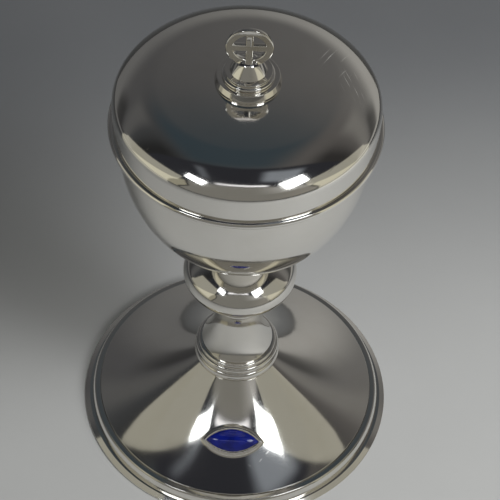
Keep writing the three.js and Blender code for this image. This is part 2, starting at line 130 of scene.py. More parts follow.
class CiboriumCover(PropertyGroup):
    """Sizes of the cover and of the mouldings under its finial."""

    radius: length("Radius", reach("cover_dome"), "Radius of the cover")
    wall: length("Wall", 0.9 * MM, "Thickness of the spun wall")
    crown: length("Crown curve", 400 * MM, "Radius of the shallow curve over the top")
    haunch: length("Haunch curve", 32 * MM, "Radius of the rounder curve outside the crown")
    crown_reach: length("Crown reach", 38 * MM, "Radius at which the crown meets the haunch")
    shoulder_reach: length("Shoulder reach", 56 * MM, "Radius at which the haunch ends")


class CiboriumStem(PropertyGroup):
    """Sizes of the stem, its knop and its collars."""

    waist: length("Waist", 10.85 * MM, "Radius of the stem at its narrowest")
    waist_drop: length("Waist drop", 3.6 * MM, "Distance of the waist below the stem's head")
    edge: length("Stem edge", 1.2 * MM, "Height of the upright edge under the stem's flare")
    head: length("Head", 11.3 * MM, "Radius of the stem under the knop")
    knop_edge: length("Knop edge", 7.9 * MM, "Radius of the roll round the knop's edge")
    knop_cap: length("Knop cap", 38.5 * MM, "Radius of the shallow curve over the knop")
    knop_tilt: share("Knop tilt", 38.0, "Slope at which the knop's roll begins, in degrees", 80.0)
    knop_seat: length("Knop seat", 10.5 * MM, "Radius of the flat seats of the knop")


class CiboriumFoot(PropertyGroup):
    """Sizes of the trumpet foot and its moulded edge."""

    edge: length("Edge radius", reach("foot_cone"), "Radius at which the trumpet ends")
    top: length("Top radius", 20.2 * MM, "Radius of the flat seat at the top of the trumpet")
    edge_height: length("Edge height", 8.35 * MM, "Height at which the trumpet meets its moulding")
    sag: length("Sag", 2.27 * MM, "Depth of the hollow between the trumpet's top and its edge")
    wall: length("Wall", 1.0 * MM, "Thickness of the spun wall")
    round_top: length("Round top", 70.4 * MM, "Radius at which the bold round leaves its fillet")
    step: length("Step radius", 73.7 * MM, "Radius of the plinth's upper edge")


class CiboriumStone(PropertyGroup):
    """Sizes of the navette stone and its setting."""

    length: length("Length", 26.4 * MM, "Length of the stone")
    width: length("Width", 11.6 * MM, "Width of the stone")
    dome: length("Dome", 3.4 * MM, "Rise of the stone above its girdle")
    out: length("Distance out", 44.485 * MM, "Distance of the stone's middle from the axis")
    lip: length("Lip", 0.5 * MM, "Overhang of the turned-in lip")
    wall: length("Wall", 1.3 * MM, "Thickness of the setting outside the stone")
    height: length("Height", 3.2 * MM, "Height of the setting above the foot")
    flange: length("Flange", 1.3 * MM, "Width of the solder line round the setting")


class CiboriumFinish(PropertyGroup):
    """Colours and polish of the metal and the stone."""

    silver: shade("Silver", (0.82, 0.80, 0.76), "Colour of the polished silver")
    tarnish: shade("Tarnish", (0.60, 0.55, 0.45), "Colour of the thin film in the quirks")
    gilt: shade("Gilding", (0.86, 0.62, 0.27), "Colour of the gilding inside the cup")
    brass: shade("Brass", (0.60, 0.44, 0.20), "Colour of the rod, the nuts and the washers")
    stone: shade("Stone", (0.004, 0.010, 0.17), "Colour of the blue stone")
    polish: share("Roughness", 0.06, "Roughness of the cleanest polished metal")
    ripple: length("Ripple", 0.018 * MM, "Height of the slow waves left by hand finishing")


class CiboriumStage(PropertyGroup):
    """Floor, lamps and room."""

    floor: shade("Floor", (0.52, 0.525, 0.52), "Colour of the floor")
    key: share("Key lamp", 9.0, "Brightness of the broad lamp", 200.0)
    windows: share("Windows", 5.0, "Brightness of the two front lamps", 200.0)
    boards: share("Side boards", 0.31, "Brightness of the dim boards beside the object", 10.0)
    room: share("Room", 1.0, "Strength of the light from the walls and the ceiling", 10.0)


def arithmetic(operation, swapped=False):
    """A method that adds a Math node for one of Python's operators."""

    def method(self, other):
        terms = (other, self) if swapped else (self, other)
        return self.graph.maths(operation, *terms)

    return method


class Value:
    """One output of a shader node. Arithmetic on it adds Math nodes."""

    def __init__(self, graph, socket):
        self.graph = graph
        self.socket = socket

    __add__ = __radd__ = arithmetic("ADD")
    __mul__ = __rmul__ = arithmetic("MULTIPLY")
    __sub__ = arithmetic("SUBTRACT")
    __rsub__ = arithmetic("SUBTRACT", swapped=True)
    __truediv__ = arithmetic("DIVIDE")
    __rtruediv__ = arithmetic("DIVIDE", swapped=True)

    def __neg__(self):
        return self * -1.0


def find(sockets, name):
    """A socket by its place, its identifier or its name."""
    if isinstance(name, int):
        return sockets[name]
    for socket in sockets:
        if socket.identifier == name:
            return socket
    return sockets[name]


class Graph:
    """The node tree of a material, a lamp or the world."""

    def __init__(self, owner, output):
        owner.use_nodes = True
        self.owner = owner
        self.tree = owner.node_tree
        self.tree.nodes.clear()
        self.output = self.tree.nodes.new("ShaderNode" + output)

    def feed(self, socket, value):
        """Links a value to a socket, or sets a plain number or colour on it."""
        if isinstance(value, Value):
            self.tree.links.new(value.socket, socket)
        elif socket.type == "RGBA":
            socket.default_value = (*value, 1.0)
        else:
            socket.default_value = value

    def node(self, kind, settings=(), inputs=(), output=0):
        """Any node: its settings first, then what its sockets take, and one of its outputs."""
        made = self.tree.nodes.new("ShaderNode" + kind)
        for name, value in dict(settings).items():
            setattr(made, name, value)
        for name, value in dict(inputs).items():
            self.feed(find(made.inputs, name), value)
        return Value(self, find(made.outputs, output))

    def maths(self, operation, *terms):
        """A Math node on one, two or three values."""
        return self.node("Math", {"operation": operation}, dict(enumerate(terms)))

    def between(self, value, start, stop, low=0.0, high=1.0):
        """Runs smoothly from low to high as the value goes from start to stop."""
        inputs = {"Value": value, "From Min": start, "From Max": stop}
        inputs |= {"To Min": low, "To Max": high}
        return self.node("MapRange", {"interpolation_type": "SMOOTHSTEP"}, inputs)

    def patch(self, value, start, stop, edge):
        """1 between start and stop, 0 outside, with soft edges."""
        rising = self.between(value, start - edge, start + edge)
        falling = self.between(value, stop - edge, stop + edge)
        return rising * (1.0 - falling)

    def blend(self, factor, first, second):
        """From the first colour to the second."""
        inputs = {"Factor_Float": factor, "A_Color": first, "B_Color": second}
        return self.node("Mix", {"data_type": "RGBA"}, inputs, "Result_Color")

    def split(self, vector):
        """The three parts of a vector."""
        parts = self.node("SeparateXYZ", inputs={"Vector": vector}).socket.node.outputs
        return [Value(self, part) for part in parts]

    def radius(self, x, y):
        """Distance from the stem's axis."""
        return self.maths("SQRT", x * x + y * y)

    def joined(self, x, y, z):
        """A vector from three values."""
        return self.node("CombineXYZ", inputs={"X": x, "Y": y, "Z": z})

    def noise(self, vector, scale, detail=2.0, roughness=0.5, distortion=0.0, seed=0.0):
        """Noise from about 0 to 1 at a vector, with a seed that picks another pattern."""
        inputs = {
            "Vector": vector, "W": seed, "Scale": scale, "Detail": detail,
            "Roughness": roughness, "Distortion": distortion,
        }
        return self.node("TexNoise", {"noise_dimensions": "4D"}, inputs)

    def bump(self, height, distance, normal=None):
        """A normal from a height from 0 to 1 over a distance in metres."""
        inputs = {"Height": height, "Distance": distance, "Strength": 1.0}
        if normal is not None:
            inputs["Normal"] = normal
        return self.node("Bump", inputs=inputs)

    def finish(self, kind, inputs):
        """Adds the closing shader, and gives back what the tree belongs to."""
        shader = self.node(kind, inputs=inputs)
        self.tree.links.new(shader.socket, self.output.inputs["Surface"])
        return self.owner


def material(name):
    """The graph of a new material and the point on its piece, in the shared frame."""
    graph = Graph(bpy.data.materials.new(name), "OutputMaterial")
    return graph, graph.node("TexCoord", output="Object")


def tint(colour, level):
    """A darker or lighter tone of a colour."""
    return [part * level for part in colour]


def scratches(graph, place, turn, width, seed):
    """Thin straight scratches that run one way, 1 in a scratch and 0 beside it."""
    long, wide, deep = 1 / 45, 1 / 1500, 1 / 420
    inputs = {"Vector": place, "Rotation": turn, "Scale": (long, wide, deep)}
    stretched = graph.node("Mapping", {"vector_type": "TEXTURE"}, inputs)
    lines = graph.noise(stretched, 1.0, 1.0, distortion=0.15, seed=seed)
    crest = 0.80
    return graph.between(lines, crest - width, crest)


def silver(name, seed, colour=None, film=0.0, worn=None):
    """Polished metal: turned lines, slow ripples, light scratches, bloom and a little film."""
    look = bpy.context.scene.ciborium_finish
    graph, place = material(name)
    x, y, z = graph.split(place)
    radius = graph.radius(x, y)
    off_axis = radius + 0.5 * MM
    lines_per_metre = 2600.0
    wander = 1.3
    around = graph.joined(radius * lines_per_metre, z * lines_per_metre, x / off_axis * wander)
    tool_lines = graph.noise(around, 1.0, roughness=0.6, seed=y / off_axis * wander + seed)
    slow = graph.noise(place, 34.0, roughness=0.45, seed=seed + 3.0)
    bloom = graph.noise(place, 60.0, 4.0, 0.6, 0.4, seed + 7.0)
    marks = scratches(graph, place, (0.0, 0.0, 0.9), 0.05, seed)
    cross_marks = scratches(graph, place, (0.2, 0.1, -0.5), 0.04, seed + 11.0)
    scratched = graph.maths("MAXIMUM", marks, cross_marks)
    metallic = 1.0
    if worn is not None:
        deep_marks = worn(graph, place)
        scratched = graph.maths("MAXIMUM", scratched, deep_marks)
        metallic = 1.0 - deep_marks * 0.45
    cloud = graph.between(bloom, 0.42, 0.75)
    least_film = 0.10
    rippled = graph.bump(slow, look.ripple * 6.0)
    lined = graph.bump(tool_lines, 0.0006 * MM, rippled)
    return graph.finish("BsdfPrincipled", {
        "Base Color": graph.blend(cloud * (least_film + film), colour or look.silver, look.tarnish),
        "Metallic": metallic,
        "Roughness": look.polish + cloud * 0.035 + scratched * 0.16 + tool_lines * 0.02,
        "Normal": graph.bump(1.0 - scratched, 0.003 * MM, lined),
    })


def cover_wear(graph, place):
    """The crossed scratches on the right of the cover's top."""
    x, y, z = graph.split(place)
    back = graph.patch(x, 0.032, 0.042, 0.003) * graph.patch(y, 0.008, 0.022, 0.004)
    front = graph.patch(x, 0.041, 0.048, 0.003) * graph.patch(y, -0.004, 0.011, 0.004)
    first = scratches(graph, place, (0.0, 0.0, 1.05), 0.20, 21.0) * back
    second = scratches(graph, place, (0.0, 0.0, -1.15), 0.20, 25.0) * front
    on_top = graph.between(z, 0.214, 0.218)
    return graph.maths("MAXIMUM", first, second) * on_top


def bright_brass(name):
    """Turned brass with fine tool lines and a dull film."""
    look = bpy.context.scene.ciborium_finish
    graph, place = material(name)
    x, y, z = graph.split(place)
    lines_per_metre = 4000.0
    around = graph.joined(graph.radius(x, y) * lines_per_metre, z * lines_per_metre, 0.0)
    film = graph.noise(place, 240.0, 5.0, 0.6)
    dull = (0.30, 0.21, 0.10)
    return graph.finish("BsdfPrincipled", {
        "Base Color": graph.blend(graph.between(film, 0.35, 0.8), look.brass, dull),
        "Metallic": 1.0,
        "Roughness": 0.26 + film * 0.2,
        "Normal": graph.bump(graph.noise(around, 1.0), 0.004 * MM),
    })


def blue_stone(name):
    """Deep royal blue stone with faint veils under a glossy polish."""
    blue = bpy.context.scene.ciborium_finish.stone
    graph, place = material(name)
    veil = graph.noise(place, 150.0, 4.0, 0.6, 0.8)
    fleck = graph.noise(place, 900.0, seed=4.0)
    bright = (0.01, 0.05, 0.30)
    body = graph.blend(graph.between(veil, 0.3, 0.75), tint(blue, 0.5), tint(blue, 1.1))
    return graph.finish("BsdfPrincipled", {
        "Base Color": graph.blend(graph.between(fleck, 0.72, 0.80) * 0.35, body, bright),
        "Roughness": 0.07 + veil * 0.03,
        "IOR": 1.55,
        "Coat Weight": 0.2,
        "Coat Roughness": 0.03,
    })


def pale_board(name):
    """Matt painted floor with faint rubbed marks and a few specks, and painted shade that darkens
    it towards the back.
    """
    floor = bpy.context.scene.ciborium_stage.floor
    graph, place = material(name)
    cloud = graph.noise(place, 7.0, 5.0, 0.6)
    grain = graph.noise(place, 260.0, 3.0, 0.6)
    speck = graph.noise(place, 420.0, 1.0, 0.4, seed=9.0)
    streaked = graph.node("Mapping", inputs={"Vector": place, "Scale": (90.0, 600.0, 1.0)})
    rubbed = graph.between(graph.noise(streaked, 1.0), 0.66, 0.80)
    tone = graph.between(0.93 + cloud * 0.12 - rubbed * 0.05, 0.90, 1.08)
    near = graph.blend(tone, tint(floor, 0.9), tint(floor, 1.06))
    # Painted shade: the darker tone towards the back and the left stands in for the lamp's falloff
    # and the cast shadow there.
    painted_back_shade = graph.blend(tone, (0.185, 0.192, 0.202), (0.222, 0.229, 0.239))
    x, y, z = graph.split(place)
    base = graph.blend(graph.between(y - x * 0.15, 0.0, 0.27), near, painted_back_shade)
    return graph.finish("BsdfPrincipled", {
        "Base Color": graph.blend(graph.between(speck, 0.80, 0.86) * 0.5, base, tint(floor, 0.35)),
        "Roughness": 0.42 + grain * 0.12,
        "Normal": graph.bump(grain, 0.05 * MM),
    })


def corners(*places):
    """Points of an outline from pairs of radius and height."""
    return [Vector(place) for place in places]


def spaced(start, stop, steps):
    """Values at even steps from start to stop, with both ends."""
    return [start + (stop - start) * step / steps for step in range(steps + 1)]


def arc(centre, across, up, start, stop, steps):
    """Points on an elliptical arc in radius and height, angles in degrees from outwards."""
    return [
        Vector((centre[0] + across * cos(angle), centre[1] + up * sin(angle)))
        for angle in map(radians, spaced(start, stop, steps))
    ]


def inset(outline, wall):
    """The outline moved to its left by the wall, with its ends cut level or upright."""
    moved = []
    last = len(outline) - 1
    for index, here in enumerate(outline):
        incoming = (here - outline[max(index - 1, 0)]).normalized()
        outgoing = (outline[min(index + 1, last)] - here).normalized()
        along = (incoming + outgoing).normalized()
        segment = outgoing if index == 0 else incoming
        side = Vector((-along.y, along.x))
        if index in (0, last):
            steep = abs(along.y) > abs(along.x)
            side = Vector((-along.y, 0) if steep else (0, along.x)).normalized()
        moved.append(here + side * (wall / side.dot(Vector((-segment.y, segment.x)))))
    return moved


def shell(outline, wall):
    """The outline of a spun wall: out along its outside and back along its inside."""
    return outline + inset(outline, wall)[::-1]


def soften(outline, radius, closed):
    """Rounds the corners of an outline, with a close point beside each round to keep flats flat."""
    count = len(outline)
    gentle = radians(16)
    softened = []
    for index, here in enumerate(outline):
        before = outline[index - 1] - here
        after = outline[(index + 1) % count] - here
        short = min(before.length, after.length)
        inner = (closed or 0 < index < count - 1) and short >= 1e-7
        turn = pi - before.angle(after) if inner else 0.0
        if turn < gentle:
            softened.append(here)
            continue
        room = short * 0.4
        cut = min(radius * tan(turn / 2), room)
        support = min(cut * 0.35, room * 0.5)
        start = here + before.normalized() * cut
        stop = here + after.normalized() * cut
        softened.append(start + before.normalized() * support)
        for part in spaced(0, 1, 6):
            rest = 1 - part
            softened.append(start * rest ** 2 + here * 2 * part * rest + stop * part ** 2)
        softened.append(stop + after.normalized() * support)
    return softened


def build(name, points, faces, finishes, body, nodes, choose=None):
    """One piece from points and faces, with its finishes, its body and the nodes it stands for."""
    mesh = bpy.data.meshes.new(name)
    mesh.from_pydata(points, [], faces)
    mesh.validate()
    piece = bpy.data.objects.new(name, mesh)
    bpy.context.scene.collection.objects.link(piece)
    for finish in finishes:
        mesh.materials.append(finish)
    if choose is not None:
        for polygon in mesh.polygons:
            polygon.material_index = choose(polygon)
    mesh.shade_smooth()
    mesh.set_sharp_from_angle(angle=radians(38))
    mesh.update()
    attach(piece, body)
    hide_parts(*nodes)
    return piece


def ring_at(height, facets, radius_at):
    """Points round the axis at one height, with a radius for each angle."""
    points = []
    for facet in range(facets):
        angle = 2 * pi * facet / facets
        radius = radius_at(angle)
        points.append(Vector((radius * cos(angle), radius * sin(angle), height)))
    return points


def rings_to_mesh(rings, closed=False):
    """Points and faces that join rings of as many points.

    A closed run joins its last ring to its first; another gets a middle point at each end.
    """
    points = [at for ring in rings for at in ring]
    size = len(rings[0])
    starts = [level * size for level in range(len(rings))]
    steps = [(step, (step + 1) % size) for step in range(size)]
    faces = []
    for under, over in zip(starts, starts[1:] + starts[:1] if closed else starts[1:]):
        faces += [(under + a, under + b, over + b, over + a) for a, b in steps]
    if not closed:
        for start, turn in ((starts[-1], 1), (0, -1)):
            ring = points[start:start + size]
            points.append(Vector([sum(parts) / size for parts in zip(*ring)]))
            faces += [(start + a, start + b, len(points) - 1)[::turn] for a, b in steps]
    return points, faces


def turned(
    name, outline, facets, finishes, body, nodes, edge=0.25 * MM, choose=None
):
    """A piece turned from an outline that starts and ends on the axis or closes on itself."""
    closed = outline[0].x > 0
    outline = [at for at in soften(outline, edge, closed) if at.x > 1e-7]
    rings = [ring_at(at.y, facets, lambda angle: at.x) for at in outline]
    points, faces = rings_to_mesh(rings, closed)
    return build(name, points, faces, finishes, body, nodes, choose)


def ring_outline(bore, outline):
    """An outline with a straight bore behind it."""
    return corners((bore, outline[0].y), *outline, (bore, outline[-1].y))


def bead(root, outer, bottom, top, steps=24):
    """A half-round moulding between two heights."""
    return arc((root, (bottom + top) / 2), outer - root, (top - bottom) / 2, -90, 90, steps)


def foot_height(radius):
    """Height of the trumpet's outside at a radius."""
    foot = bpy.context.scene.ciborium_foot
    part = (radius - foot.top) / (foot.edge - foot.top)
    top = high("foot_cone")
    return top - (top - foot.edge_height) * part - 4 * foot.sag * part * (1 - part)


def foot_slope(radius):
    """Rise of the trumpet's outside for each unit outwards at a radius."""
    step = 0.01 * MM
    return (foot_height(radius + step) - foot_height(radius - step)) / (2 * step)


def cup_height(radius):
    """Height of the bowl's outside at a radius."""
    cup = bpy.context.scene.ciborium_cup
    fall = (1 - min(radius / cup.radius, 1.0) ** 2) ** (1 / cup.fullness)
    return cup.mouth - cup.band - cup.depth * fall


class CIBORIUM_OT_cup(Operator):
    """Spins the cup, gilt inside, with the wire round its mouth"""

    bl_idname = "ciborium.cup"
    bl_label = "Cup"

    def execute(self, context):
        cup = context.scene.ciborium_cup
        seat = asin(cup.seat / cup.radius)
        radii = [cup.radius * sin(angle) for angle in spaced(seat, pi / 2, 56)]
        side = [(radius, cup_height(radius)) for radius in radii]
        outline = corners((0, cup_height(cup.seat)), *side, (cup.radius, cup.mouth))
        outside = silver("cup silver", 1.0)
        inside = silver("cup gilding", 2.0, context.scene.ciborium_finish.gilt)

        def gilded(polygon):
            middle = polygon.center
            slant = max(-polygon.normal.z, 0.3)
            reach_out = hypot(middle.x, middle.y) + cup.wall * 0.5 * slant
            facing_in = polygon.normal.x * middle.x + polygon.normal.y * middle.y < 0
            return 1 if (facing_in or polygon.normal.z > 0.2) and reach_out < cup.radius else 0

        bowl = shell(outline, cup.wall)
        turned("cup_bowl", bowl, LARGE, [outside, inside], "vessel", ["cup"], choose=gilded)
        outer = reach("cup_rim_wire")
        wire = bead(outer - 1.6 * MM, outer, low("cup_rim_wire"), cup.mouth)
        wire = ring_outline(cup.radius + 0.02 * MM, wire)
        finish = [silver("wire silver", 3.0)]
        turned("cup_lip_wire", wire, LARGE, finish, "vessel", ["cup_rim_wire"])
        return {"FINISHED"}


class CIBORIUM_OT_neck(Operator):
    """Turns the rounds and the socket between the knop and the cup"""

    bl_idname = "ciborium.neck"
    bl_label = "Neck"

    def execute(self, context):
        bore = 6.0 * MM
        socket_bore = 2.6 * MM
        finish = [silver("neck silver", 4.0)]
        # Where each pair of rounds divides, half the gap between them, and the root and reach
        # of the lower and the upper round, in mm
        pairs = [
            ("neck_round", "neck_bead", 0.55, 0, (10.1, reach("neck_bead") / MM), (9.4, 10.5)),
            ("neck_rounds", "neck_spool", 0.5, 0.15, (9.0, 10.3), (8.4, 9.6)),
        ]
        for name, node, part, gap, lower, upper in pairs:
            under, over, _ = span(node)
            groove = under + part * (over - under)
            rounds = bead(lower[0] * MM, lower[1] * MM, under, groove - gap * MM)
            rounds += bead(upper[0] * MM, upper[1] * MM, groove + gap * MM, over)
            turned(name, ring_outline(bore, rounds), MEDIUM, finish, "vessel", [node])
        under, over, outer = span("cup_socket")
        socket = ring_outline(socket_bore, bead(8.6 * MM, outer, under, over, 12))
        turned("neck_socket", socket, MEDIUM, finish, "vessel", ["cup_socket"])
        return {"FINISHED"}


class CIBORIUM_OT_knop(Operator):
    """Spins the knop as a closed bulb, its two halves polished into one"""

    bl_idname = "ciborium.knop"
    bl_label = "Knop"

    def execute(self, context):
        stem = context.scene.ciborium_stem
        middle = high("knop_lower_half")
        roll_centre = reach("knop_upper_half") - stem.knop_edge
        roll_angle = 90 - stem.knop_tilt
        bend = radians(roll_angle)
        cap_across = roll_centre + (stem.knop_edge - stem.knop_cap) * cos(bend)
        cap_up = (stem.knop_edge - stem.knop_cap) * sin(bend)
        cap_end = degrees(acos((stem.knop_seat - cap_across) / stem.knop_cap))
        half = arc((roll_centre, 0), stem.knop_edge, stem.knop_edge, 0, roll_angle, 22)
        half += arc((cap_across, cap_up), stem.knop_cap, stem.knop_cap, roll_angle, cap_end, 18)[1:]
        rod_hole = 6.0 * MM
        wall = 1.0 * MM
        half.append(Vector((rod_hole, half[-1].y)))
        outline = corners(*((at.x, middle - at.y) for at in half[:0:-1]))
        outline += corners(*((at.x, middle + at.y) for at in half))
        finish = [silver("knop silver", 5.0)]
        halves = ["knop_lower_half", "knop_upper_half"]
        turned("knop_bulb", shell(outline, wall), LARGE, finish, "vessel", halves)
        return {"FINISHED"}


class CIBORIUM_OT_stem(Operator):
    """Turns the stem, the collar under the knop and the rounds over the foot"""

    bl_idname = "ciborium.stem"
    bl_label = "Stem"

    def execute(self, context):
        stem = context.scene.ciborium_stem
        foot = context.scene.ciborium_foot
        finish = [silver("stem silver", 6.0)]
        bottom, top, spread = span("stem")
        waist_height = top - stem.waist_drop
        rise = waist_height - bottom - stem.edge
        bend = 2 * atan((spread - stem.waist) / rise)
        sweep = rise / sin(bend)
        flare = (stem.waist + sweep, waist_height)
        head = (stem.head, waist_height)
        wall = 1.6 * MM
        outline = corners((spread, bottom))
        outline += arc(flare, sweep, sweep, 180 + degrees(bend), 180, 48)
        outline += arc(head, stem.head - stem.waist, stem.waist_drop, 180, 90, 16)[1:]
        outline = ring_outline(stem.waist - wall, outline)
        turned("stem_spool", outline, MEDIUM, finish, "vessel", ["stem"])

        under, over, outer = span("stem_head_collar")
        bead_top = under + 3.2 * MM
        root = 10.4 * MM
        drawn_in = 0.8 * MM
        half = (over - bead_top) / 2
        collar = bead(root, outer, under, bead_top)
        collar += arc((root, over - half), drawn_in, half, 270, 90, 20)[1:]
        collar = ring_outline(6.0 * MM, collar)
        turned("stem_collar", collar, MEDIUM, finish, "vessel", ["stem_head_collar"])

        bore = 8.0 * MM
        groove = 1.0 * MM
        groove_root = 0.2 * MM
        rounds = [
            ("collar_round_lower", "collar_lower_ring", foot.top - 1.0 * MM, groove),
            ("collar_round_upper", "collar_upper_ring", spread + 1.4 * MM, 0),
            ("stem_foot_round", "stem_foot_bead", spread + 0.4 * MM, 0),
        ]
        for name, node, root, groove_height in rounds:
            bottom, top, outer = span(node)
            edge = top - groove_height
            ring = bead(root, outer, bottom, edge)
            if groove_height:
                ring += corners((root + groove_root, edge), (root + groove_root, top))
            ring_silver = [silver(name + " silver", root * 900)]
            turned(name, ring_outline(bore, ring), MEDIUM, ring_silver, "vessel", [node])
        return {"FINISHED"}


class CIBORIUM_OT_foot(Operator):
    """Spins the trumpet foot and turns its moulded edge and plinth"""

    bl_idname = "ciborium.foot"
    bl_label = "Foot"

    def execute(self, context):
        foot = context.scene.ciborium_foot
        seat = high("plinth_ring")
        rod_hole = 2.6 * MM
        curve = [(radius, foot_height(radius)) for radius in spaced(foot.edge, foot.top, 60)]
        outline = corners((foot.edge, seat), *curve, (rod_hole, high("foot_cone")))
        finish = [silver("foot silver", 9.0)]
        trumpet = shell(outline, foot.wall)
        turned("foot_trumpet", trumpet, LARGE, finish, "vessel", ["foot_cone"])

        _, top, bold = span("foot_rim_moulding")
        springing = seat + 0.5 * MM
        rise = top - springing
        edge = arc((foot.round_top, springing), bold - foot.round_top, rise, 0, 90, 28)
        outline = ring_outline(foot.edge + 0.12 * MM, corners((bold, seat), *edge))
        finish = [silver("moulding silver", 10.0, film=0.06)]
        turned("foot_moulding", outline, LARGE, finish, "vessel", ["foot_rim_moulding"])

        outer = reach("plinth_ring")
        bore = foot.edge - foot.wall - 0.6 * MM
        bevel = 0.4 * MM
        outline = corners(
            (bore, 0), (outer - bevel, 0), (outer, bevel), (outer, 2 * bevel), (foot.step, seat),
            (bore, seat),
        )
        finish = [silver("plinth silver", 11.0)]
        turned("foot_plinth", outline, LARGE, finish, "vessel", ["plinth_ring"])
        return {"FINISHED"}


def navette(long, wide, steps):
    """Points round a navette: two equal arcs that meet at pointed ends."""
    half_long = long / 2
    half_wide = wide / 2
    radius = (half_long ** 2 + half_wide ** 2) / (2 * half_wide)
    sweep = asin(half_long / radius)
    points = []
    for side in (1, -1):
        middle = side * pi / 2
        for angle in spaced(middle - sweep, middle + sweep, steps)[:-1]:
            across = side * (half_wide - radius) + radius * sin(angle)
            points.append((radius * cos(angle), across))
    return points


def stone_place():
    """The matrix that sets the stone on the slope of the foot."""
    stone = bpy.context.scene.ciborium_stone
    middle = Vector((0, -stone.out, foot_height(stone.out)))
    return Matrix.Translation(middle) @ Matrix.Rotation(-atan(foot_slope(stone.out)), 4, "X")


class CIBORIUM_OT_stone(Operator):
    """Cuts the navette stone and folds its setting round it"""

    bl_idname = "ciborium.stone"
    bl_label = "Stone and setting"

    def execute(self, context):
        stone = context.scene.ciborium_stone
        place = stone_place()
        base = 0.6 * MM
        crown = base + 0.4 * MM
        spread = 1.037
        steps = 72
        along = stone.length / 2 * spread
        across = stone.width / 2 * spread

        def on_stone(x, y, lift):
            inside = max(1 - (x / along) ** 2 - (y / across) ** 2, 0.0)
            return crown + stone.dome * sqrt(inside) + lift

        def on_foot(x, y, lift):
            height = 0.0
            for _ in range(8):
                at = place @ Vector((x, y, height))
                height -= at.z - foot_height(hypot(at.x, at.y)) - lift
            return height

        def level_at(x, y, height):
            return height

        def ring(outline, surface, lift):
            return [place @ Vector((x, y, surface(x, y, lift))) for x, y in outline]

        outline = navette(stone.length, stone.width, steps)
        rings = [ring(outline, level_at, base)]
        for part in spaced(0, 1, 26)[:-1]:
            size = 1 - part ** 1.4
            rings.append(ring([(x * size, y * size) for x, y in outline], on_stone, 0.0))
        points, faces = rings_to_mesh(rings)
        finish = [blue_stone("blue stone")]
        build("navette_stone", points, faces, finish, "vessel", ["stone"])

        lip = -stone.lip
        wall = stone.wall
        toe = wall + stone.flange
        top = stone.height
        # Pairs of distances in mm: out from the lip and down, in from the wall and down,
        # and out from the wall and up from the foot
        lip_roll = ((0.12, 0.16), (0.32, 0.03), (0.6, 0.0))
        edge_roll = ((0.55, 0.0), (0.3, 0.06), (0.1, 0.22), (0.0, 0.5))
        solder = ((0.06, 0.9), (0.22, 0.55), (0.5, 0.3), (0.9, 0.16))
        section = [(lip, on_stone, 0.05 * MM), (lip, on_stone, 0.25 * MM)]
        section += [(lip + out * MM, level_at, top - down * MM) for out, down in lip_roll]
        section += [(wall - back * MM, level_at, top - down * MM) for back, down in edge_roll]
        section.append((wall, level_at, 1.3 * MM))
        section += [(wall + out * MM, on_foot, lift * MM) for out, lift in solder]
        buried = -0.3 * MM
        section += [(toe, on_foot, 0.06 * MM), (toe, on_foot, buried), (lip, on_foot, buried)]
        rings = []
        for offset, surface, lift in section:
            outline = navette(stone.length + 2 * offset, stone.width + 2 * offset, steps)
            rings.append(ring(outline, surface, lift))
        points, faces = rings_to_mesh(rings, closed=True)
        faces = [face[::-1] for face in faces]
        finish = [silver("setting silver", 12.0, film=0.25)]
        build("stone_collet", points, faces, finish, "vessel", ["stone_setting"])
        return {"FINISHED"}


def crown_height(radius):
    """Height of the cover's crown at a radius."""
    cover = bpy.context.scene.ciborium_cover
    return high("cover_dome") - cover.crown + sqrt(cover.crown ** 2 - radius ** 2)


class CIBORIUM_OT_cover(Operator):
    """Spins the domed cover and turns the sleeve that drops into the cup"""

    bl_idname = "ciborium.cover"
    bl_label = "Cover"

    def execute(self, context):
        cover = context.scene.ciborium_cover
        crown_tilt = asin(cover.crown_reach / cover.crown)
        run = (cover.shoulder_reach - cover.crown_reach) / cover.haunch
        shoulder_tilt = asin(sin(crown_tilt) + run)
        shoulder = (cover.radius - cover.shoulder_reach) / (1 - sin(shoulder_tilt))
        edge_height = crown_height(cover.crown_reach)
        haunch_centre = (
            cover.crown_reach - cover.haunch * sin(crown_tilt),
            edge_height - cover.haunch * cos(crown_tilt),
        )
        shoulder_top = haunch_centre[1] + cover.haunch * cos(shoulder_tilt)
        drop = shoulder * cos(shoulder_tilt)
        shoulder_centre = (cover.radius - shoulder, shoulder_top - drop)
        shoulder_end = 90 - degrees(shoulder_tilt)
        crown_end = 90 - degrees(crown_tilt)
        outline = corners((cover.radius, low("cover_dome")))
        outline += arc(shoulder_centre, shoulder, shoulder, 0, shoulder_end, 36)
        outline += arc(haunch_centre, cover.haunch, cover.haunch, shoulder_end, crown_end, 24)[1:]
        bore = 2.1 * MM
        radii = spaced(cover.crown_reach, bore, 24)[1:]
        outline += corners(*((radius, crown_height(radius)) for radius in radii))
        dome = shell(outline, cover.wall)
        finish = [silver("cover silver", 13.0, worn=cover_wear)]
        turned("cover_shell", dome, LARGE, finish, "cover", ["cover_dome"])

        outer = 55.0 * MM
        inner = outer - 0.9 * MM
        under, over, flange = span("cover_sleeve")
        step = over - 1.0 * MM
        outline = corners(
            (inner, under), (outer, under), (outer, step), (flange, step), (flange, over),
            (inner, over),
        )
        finish = [silver("sleeve silver", 14.0)]
        turned("cover_locating_ring", outline, LARGE, finish, "cover", ["cover_sleeve"])
        return {"FINISHED"}


